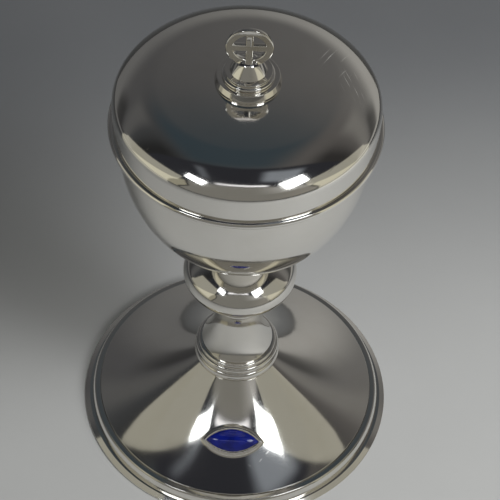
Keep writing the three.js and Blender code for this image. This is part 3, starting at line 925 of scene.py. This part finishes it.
class CIBORIUM_OT_finial(Operator):
    """Turns the finial's mouldings and cuts the cross in its ring"""

    bl_idname = "ciborium.finial"
    bl_label = "Finial"

    def execute(self, context):
        bore = 2.1 * MM
        seat_gap = 0.02 * MM
        foot = reach("finial_base")
        base_low = crown_height(foot) + seat_gap
        base_high = high("finial_base")
        outline = corners(
            (bore, crown_height(bore) + seat_gap), (foot, base_low), (foot, base_low + 1.2 * MM),
            (foot - 0.9 * MM, base_high), (bore, base_high),
        )
        finish = [silver("finial silver", 15.0, film=0.12)]
        turned("finial_disc", outline, MEDIUM, finish, "cover", ["finial_base"], edge=0.3 * MM)
        _, top, outer = span("finial_step")
        step = outer - 1.0 * MM
        outline = bead(step, outer, base_high, base_high + 1.6 * MM) + corners((step, top))
        outline = ring_outline(bore, outline)
        turned("finial_fillet", outline, MEDIUM, finish, "cover", ["finial_step"], edge=0.3 * MM)

        bottom, top, wide = span("finial_bell")
        narrow = 3.4 * MM
        hole = bottom + 1.5 * MM
        fullness = 0.7
        side = [
            (narrow + (wide - narrow) * (1 - part) ** fullness, bottom + (top - bottom) * part)
            for part in spaced(0, 1, 32)
        ]
        outline = corners((0, hole), (bore, hole), (bore, bottom), *side, (0, top))
        turned("finial_ogee", outline, MEDIUM, finish, "cover", ["finial_bell"], edge=0.15 * MM)
        self.cross(context)
        return {"FINISHED"}

    def cross(self, context):
        """The ring with its cross, as a filled outline with bevelled edges."""
        lower, upper = box("finial_cross")
        radius = (upper.z - lower.z - 0.3 * MM) / 2
        centre = upper.z - radius
        thick = upper.y - lower.y
        bevel = 0.55 * MM
        inner = radius - 3.2 * MM
        half_bar = 1.6 * MM
        foot_half = 2.4 * MM
        curve = bpy.data.curves.new("cross outline", "CURVE")
        curve.dimensions = "2D"
        curve.fill_mode = "BOTH"
        curve.extrude = thick / 2 - bevel
        curve.bevel_depth = bevel
        curve.bevel_resolution = 3
        curve.offset = -bevel

        foot_angle = degrees(asin(foot_half / radius))
        foot = corners((-foot_half, lower.z - centre), (foot_half, lower.z - centre))
        loops = [foot + arc((0, 0), radius, radius, foot_angle - 90, 270 - foot_angle, 120)]
        bar_angle = degrees(asin(half_bar / inner))
        for quarter in range(4):
            turn = quarter * 90
            corner = Vector((half_bar, half_bar))
            corner.rotate(Matrix.Rotation(radians(turn), 2))
            rim = arc((0, 0), inner, inner, turn + bar_angle, turn + 90 - bar_angle, 28)
            loops.append([corner] + rim)
        for loop in loops:
            spline = curve.splines.new("POLY")
            spline.points.add(len(loop) - 1)
            spline.use_cyclic_u = True
            for point, (x, y) in zip(spline.points, loop):
                point.co = (x, y, 0, 1)
        flat = bpy.data.objects.new("cross outline", curve)
        context.scene.collection.objects.link(flat)
        context.view_layer.update()
        source = flat.evaluated_get(context.evaluated_depsgraph_get())
        mesh = source.to_mesh()
        upright = Matrix.Translation((0, 0, centre)) @ Matrix.Rotation(pi / 2, 4, "X")
        points = [upright @ vertex.co for vertex in mesh.vertices]
        faces = [tuple(polygon.vertices) for polygon in mesh.polygons]
        source.to_mesh_clear()
        bpy.data.objects.remove(flat)
        finish = [silver("cross silver", 16.0, film=0.45)]
        piece = build("finial_ring_cross", points, faces, finish, "cover", ["finial_cross"])
        weld = piece.modifiers.new("weld", "WELD")
        weld.merge_threshold = 0.002 * MM


def nut(name, node, flats, bore, finish, body):
    """A hexagon nut with chamfered corners and a round bore."""
    bottom, top, _ = span(node)
    facets = 120
    corner = flats / sqrt(3)
    bevel = 0.3 * MM
    chamfer = [(0.0, 0.93), (0.06, 0.97), (0.16, 1.02)]
    levels = chamfer + [(1 - part, limit) for part, limit in chamfer[::-1]]

    def hexagon(angle):
        return flats / 2 / cos(angle % (pi / 3) - pi / 6)

    rings = []
    for part, limit in levels:
        height = bottom + (top - bottom) * part
        rings.append(ring_at(height, facets, lambda angle: min(hexagon(angle), corner * limit)))
    wide = bore + bevel
    inside = ((top, wide), (top - bevel, bore), (bottom + bevel, bore), (bottom, wide))
    for height, size in inside:
        rings.append(ring_at(height, facets, lambda angle: size))
    points, faces = rings_to_mesh(rings, closed=True)
    return build(name, points, faces, [finish], body, [node])


def screw(name, node, radius, pitch, finish, body):
    """A screwed rod: a helical thread along its length and plain rounded ends."""
    bottom, top, _ = span(node)

    def thread(height, angle):
        root = radius - 0.5 * pitch
        phase = (height / pitch - angle / (2 * pi)) % 1.0
        return min(radius - abs(phase - 0.5) * pitch, root + height - bottom, root + top - height)

    rings = []
    for height in spaced(bottom, top, int((top - bottom) / (pitch / 6))):
        rings.append(ring_at(height, 40, lambda angle: thread(height, angle)))
    points, faces = rings_to_mesh(rings)
    return build(name, points, faces, [finish], body, [node])


def flat_ring(name, node, bore, finish, body):
    """A washer or plate with softened edges."""
    bottom, top, outer = span(node)
    outline = corners((bore, bottom), (outer, bottom), (outer, top), (bore, top))
    return turned(name, outline, SMALL, [finish], body, [node], 0.2 * MM)


class CIBORIUM_OT_fixings(Operator):
    """Makes the rod, the stud and the nuts and washers that hold the pieces together"""

    bl_idname = "ciborium.fixings"
    bl_label = "Fixings"

    def execute(self, context):
        finish = bright_brass("turned brass")
        rod_bore = 2.6 * MM
        screw("tie_rod_screw", "tie_rod", 2.5 * MM, 0.8 * MM, finish, "vessel")
        flat_ring("foot_spreader", "spreader_plate", rod_bore, finish, "vessel")
        flat_ring("rod_washer", "tie_rod_washer", rod_bore, finish, "vessel")
        nut("rod_nut", "tie_rod_nut", 8.0 * MM, rod_bore, finish, "vessel")
        stud_bore = 2.1 * MM
        screw("finial_screw", "finial_stud", 2.0 * MM, 0.7 * MM, finish, "cover")
        flat_ring("stud_washer", "finial_washer", stud_bore, finish, "cover")
        nut("stud_nut", "finial_nut", 7.0 * MM, stud_bore, finish, "cover")
        return {"FINISHED"}


def aimed(tilt, side):
    """Direction from the object: tilt towards the front and side to the right, in degrees."""
    forward = radians(tilt)
    right = radians(side)
    return Vector((
        sin(right),
        -cos(right) * sin(forward),
        cos(right) * cos(forward),
    ))


def lamp(name, place, towards, size, glow, colour, in_metal=True, slope=0.0):
    """A soft flat lamp that faces back along its direction.

    With a slope, its top edge falls to the back and its lower edge fades out.
    """
    light = bpy.data.lights.new(name, "AREA")
    light.shape = "RECTANGLE"
    light.size = size[0]
    light.size_y = size[1]
    light.energy = glow * pi * size[0] * size[1]
    light.color = colour
    if slope:
        graph = Graph(light, "OutputLight")
        x, y, z = graph.split(graph.node("NewGeometry", output="Position"))
        under_top = graph.between(z + y * slope, 0.338, 0.332)
        over_bottom = graph.between(z, 0.10, 0.17)
        glowing = graph.blend(under_top * over_bottom, (0, 0, 0), (1, 1, 1))
        graph.finish("Emission", {"Color": glowing})
    made = bpy.data.objects.new(name, light)
    made.location = place
    made.rotation_mode = "QUATERNION"
    made.rotation_quaternion = towards.to_track_quat("Z", "Y")
    made.visible_camera = False
    made.visible_glossy = in_metal
    bpy.context.scene.collection.objects.link(made)


def room(stage):
    """The dark room as the metal mirrors it: grey behind, black overhead and a grey wall in front.

    Directions are in degrees: forward is the tilt from straight up towards the front, and side
    the turn to the right.
    """
    world = bpy.data.worlds.new("studio room")
    bpy.context.scene.world = world
    graph = Graph(world, "OutputWorld")
    between, patch, blend = graph.between, graph.patch, graph.blend
    x, y, z = graph.split(graph.node("TexCoord", output="Generated"))
    degree = 180 / pi
    forward = graph.maths("ARCTAN2", -y, z) * degree
    side = graph.maths("ARCSINE", x) * degree
    aside = graph.maths("ABSOLUTE", side)
    right = between(side, -25.0, 35.0)
    black = (0.012, 0.012, 0.012)
    behind = blend(right, (0.075, 0.075, 0.078), (0.150, 0.147, 0.143))
    horizon = blend(right, (0.13, 0.13, 0.13), (0.34, 0.335, 0.32))
    cool = patch(forward, -36.0, 2.0, 10.0) * patch(side, -24.0, 13.0, 8.0)
    shade = between(forward, -26.0, -4.0) * between(aside, 20.0, 38.0)
    flank = patch(forward, -44.0, -28.0, 6.0) * between(aside, 26.0, 38.0)
    flank_tone = blend(right, (0.10, 0.10, 0.10), (0.19, 0.185, 0.175))
    dusk = patch(forward, -72.0, -50.0, 5.0) * between(aside, 40.0, 52.0)

    gap = patch(forward, 1.0, 28.5, 1.5) * patch(aside, -9.0, 62.0, 2.0)
    pale = patch(side, 9.0, 27.0, 3.0) + patch(side, -22.0, -18.0, 2.0) * 0.45
    pale = pale * patch(forward, 6.0, 21.5, 3.0)
    gap_tone = blend(pale, (0.024, 0.025, 0.030), (0.22, 0.24, 0.27))

    past_left = side - between(forward, 30.0, 90.0, -33.0, -47.0)
    past_right = between(forward, 30.0, 80.0, 42.0, 55.0) - side
    wall_right = between(side, 15.0, 45.0) * 0.5
    wall = blend(wall_right, (0.195, 0.190, 0.172), (0.30, 0.285, 0.25))
    glow = patch(side, 18.0, 34.0, 14.0) * between(forward, 46.0, 30.0)
    wall = blend(glow, wall, (0.46, 0.455, 0.44))
    inside = between(past_left, -1.0, 1.0) * between(past_right, -1.0, 1.0)
    wall = blend(inside, (0.30, 0.285, 0.22), wall)
    seam = patch(past_left, -0.9, 0.9, 0.5) + patch(past_right, -0.9, 0.9, 0.5)
    wall = blend(seam, wall, (0.03, 0.03, 0.03))
    strip = patch(side, -15.0, 13.0, 2.0) * patch(forward, 27.0, 29.0, 0.6)

    tone = blend(right, (0.048, 0.050, 0.053), (0.100, 0.095, 0.092))
    layers = [
        (between(forward, -22.0, -56.0), behind),
        (between(forward, -56.0, -82.0), horizon),
        (cool * 0.85, (0.032, 0.048, 0.060)),
        (shade * 0.8, black),
        (flank * 0.8, flank_tone),
        (dusk * 0.6, black),
        (gap, gap_tone),
        (between(forward, 28.5, 31.5), wall),
        (strip, (1.3, 1.3, 1.35)),
    ]
    for mask, colour in layers:
        tone = blend(mask, tone, colour)
    graph.finish("Background", {"Color": tone, "Strength": stage.room})


class CIBORIUM_OT_stage(Operator):
    """Sets the floor, the lamps, the room and the camera"""

    bl_idname = "ciborium.stage"
    bl_label = "Stage"

    def execute(self, context):
        stage = context.scene.ciborium_stage
        half = 3.0
        square = [(-half, -half, 0), (half, -half, 0), (half, half, 0), (-half, half, 0)]
        mesh = bpy.data.meshes.new("floor")
        mesh.from_pydata(square, [], [(0, 1, 2, 3)])
        mesh.materials.append(pale_board("pale board"))
        floor = bpy.data.objects.new("floor", mesh)
        context.scene.collection.objects.link(floor)

        middle = Vector((0, 0, 0.12))
        white = (1.0, 1.0, 1.0)
        cold = (0.93, 0.97, 1.0)
        khaki = (1.0, 0.97, 0.80)
        lamps = [
            ("key lamp", aimed(30, 38), 0.95, (0.6, 0.5), stage.key, white, False),
            ("right window", aimed(25, 26), 1.25, (0.30, 0.22), stage.windows, cold, True),
            ("left window", aimed(26.5, -25), 1.25, (0.24, 0.13), stage.windows, cold, True),
        ]
        for name, towards, distance, size, glow, colour, in_metal in lamps:
            lamp(name, middle + towards * distance, towards, size, glow, colour, in_metal)
        for name, across in (("left board", -0.26), ("right board", 0.25)):
            outwards = Vector((copysign(1.0, across), 0, 0))
            place = Vector((across, -0.085, 0.31))
            lamp(name, place, outwards, (0.23, 0.42), stage.boards, khaki, slope=0.94)
        room(stage)

        camera = bpy.data.cameras.new("camera")
        camera.lens = 139.75
        camera.sensor_width = 36.0
        seen = bpy.data.objects.new("camera", camera)
        pitch = radians(50.37)
        yaw = radians(-0.25)
        roll = Matrix.Rotation(radians(2.79), 4, "Z")
        turn = Matrix.Rotation(yaw, 4, "Z") @ Matrix.Rotation(pi / 2 - pitch, 4, "X")
        stand = Matrix.Translation((1.7 * MM, -577.4 * MM, 809.7 * MM))
        seen.matrix_world = stand @ turn @ roll
        context.scene.collection.objects.link(seen)
        context.scene.camera = seen
        context.scene.view_settings.view_transform = "Standard"
        return {"FINISHED"}


class CIBORIUM_PT_panel(Panel):
    """Lists the ciborium's pieces"""

    bl_label = "Ciborium"
    bl_idname = "CIBORIUM_PT_panel"
    bl_space_type = "VIEW_3D"
    bl_region_type = "UI"
    bl_category = "Ciborium"

    def draw(self, context):
        for operator in OPERATORS:
            self.layout.operator(operator.bl_idname)
        for name in GROUPS:
            group = getattr(context.scene, name)
            for setting in group.__annotations__:
                self.layout.prop(group, setting)


GROUPS = {
    "ciborium_cup": CiboriumCup,
    "ciborium_cover": CiboriumCover,
    "ciborium_stem": CiboriumStem,
    "ciborium_foot": CiboriumFoot,
    "ciborium_stone": CiboriumStone,
    "ciborium_finish": CiboriumFinish,
    "ciborium_stage": CiboriumStage,
}
OPERATORS = [
    CIBORIUM_OT_stage,
    CIBORIUM_OT_foot,
    CIBORIUM_OT_stone,
    CIBORIUM_OT_stem,
    CIBORIUM_OT_knop,
    CIBORIUM_OT_neck,
    CIBORIUM_OT_cup,
    CIBORIUM_OT_cover,
    CIBORIUM_OT_finial,
    CIBORIUM_OT_fixings,
]


def register():
    """Registers the classes and puts their settings on the scene."""
    for name, group in GROUPS.items():
        bpy.utils.register_class(group)
        setattr(bpy.types.Scene, name, PointerProperty(type=group))
    for operator in OPERATORS:
        bpy.utils.register_class(operator)
    bpy.utils.register_class(CIBORIUM_PT_panel)


def unregister():
    """Takes the settings and the classes away again."""
    bpy.utils.unregister_class(CIBORIUM_PT_panel)
    for operator in reversed(OPERATORS):
        bpy.utils.unregister_class(operator)
    for name, group in GROUPS.items():
        delattr(bpy.types.Scene, name)
        bpy.utils.unregister_class(group)


def main():
    """Registers the settings and makes every piece."""
    register()
    for operator in OPERATORS:
        group, name = operator.bl_idname.split(".")
        getattr(getattr(bpy.ops, group), name)()


if __name__ == "__main__":
    main()
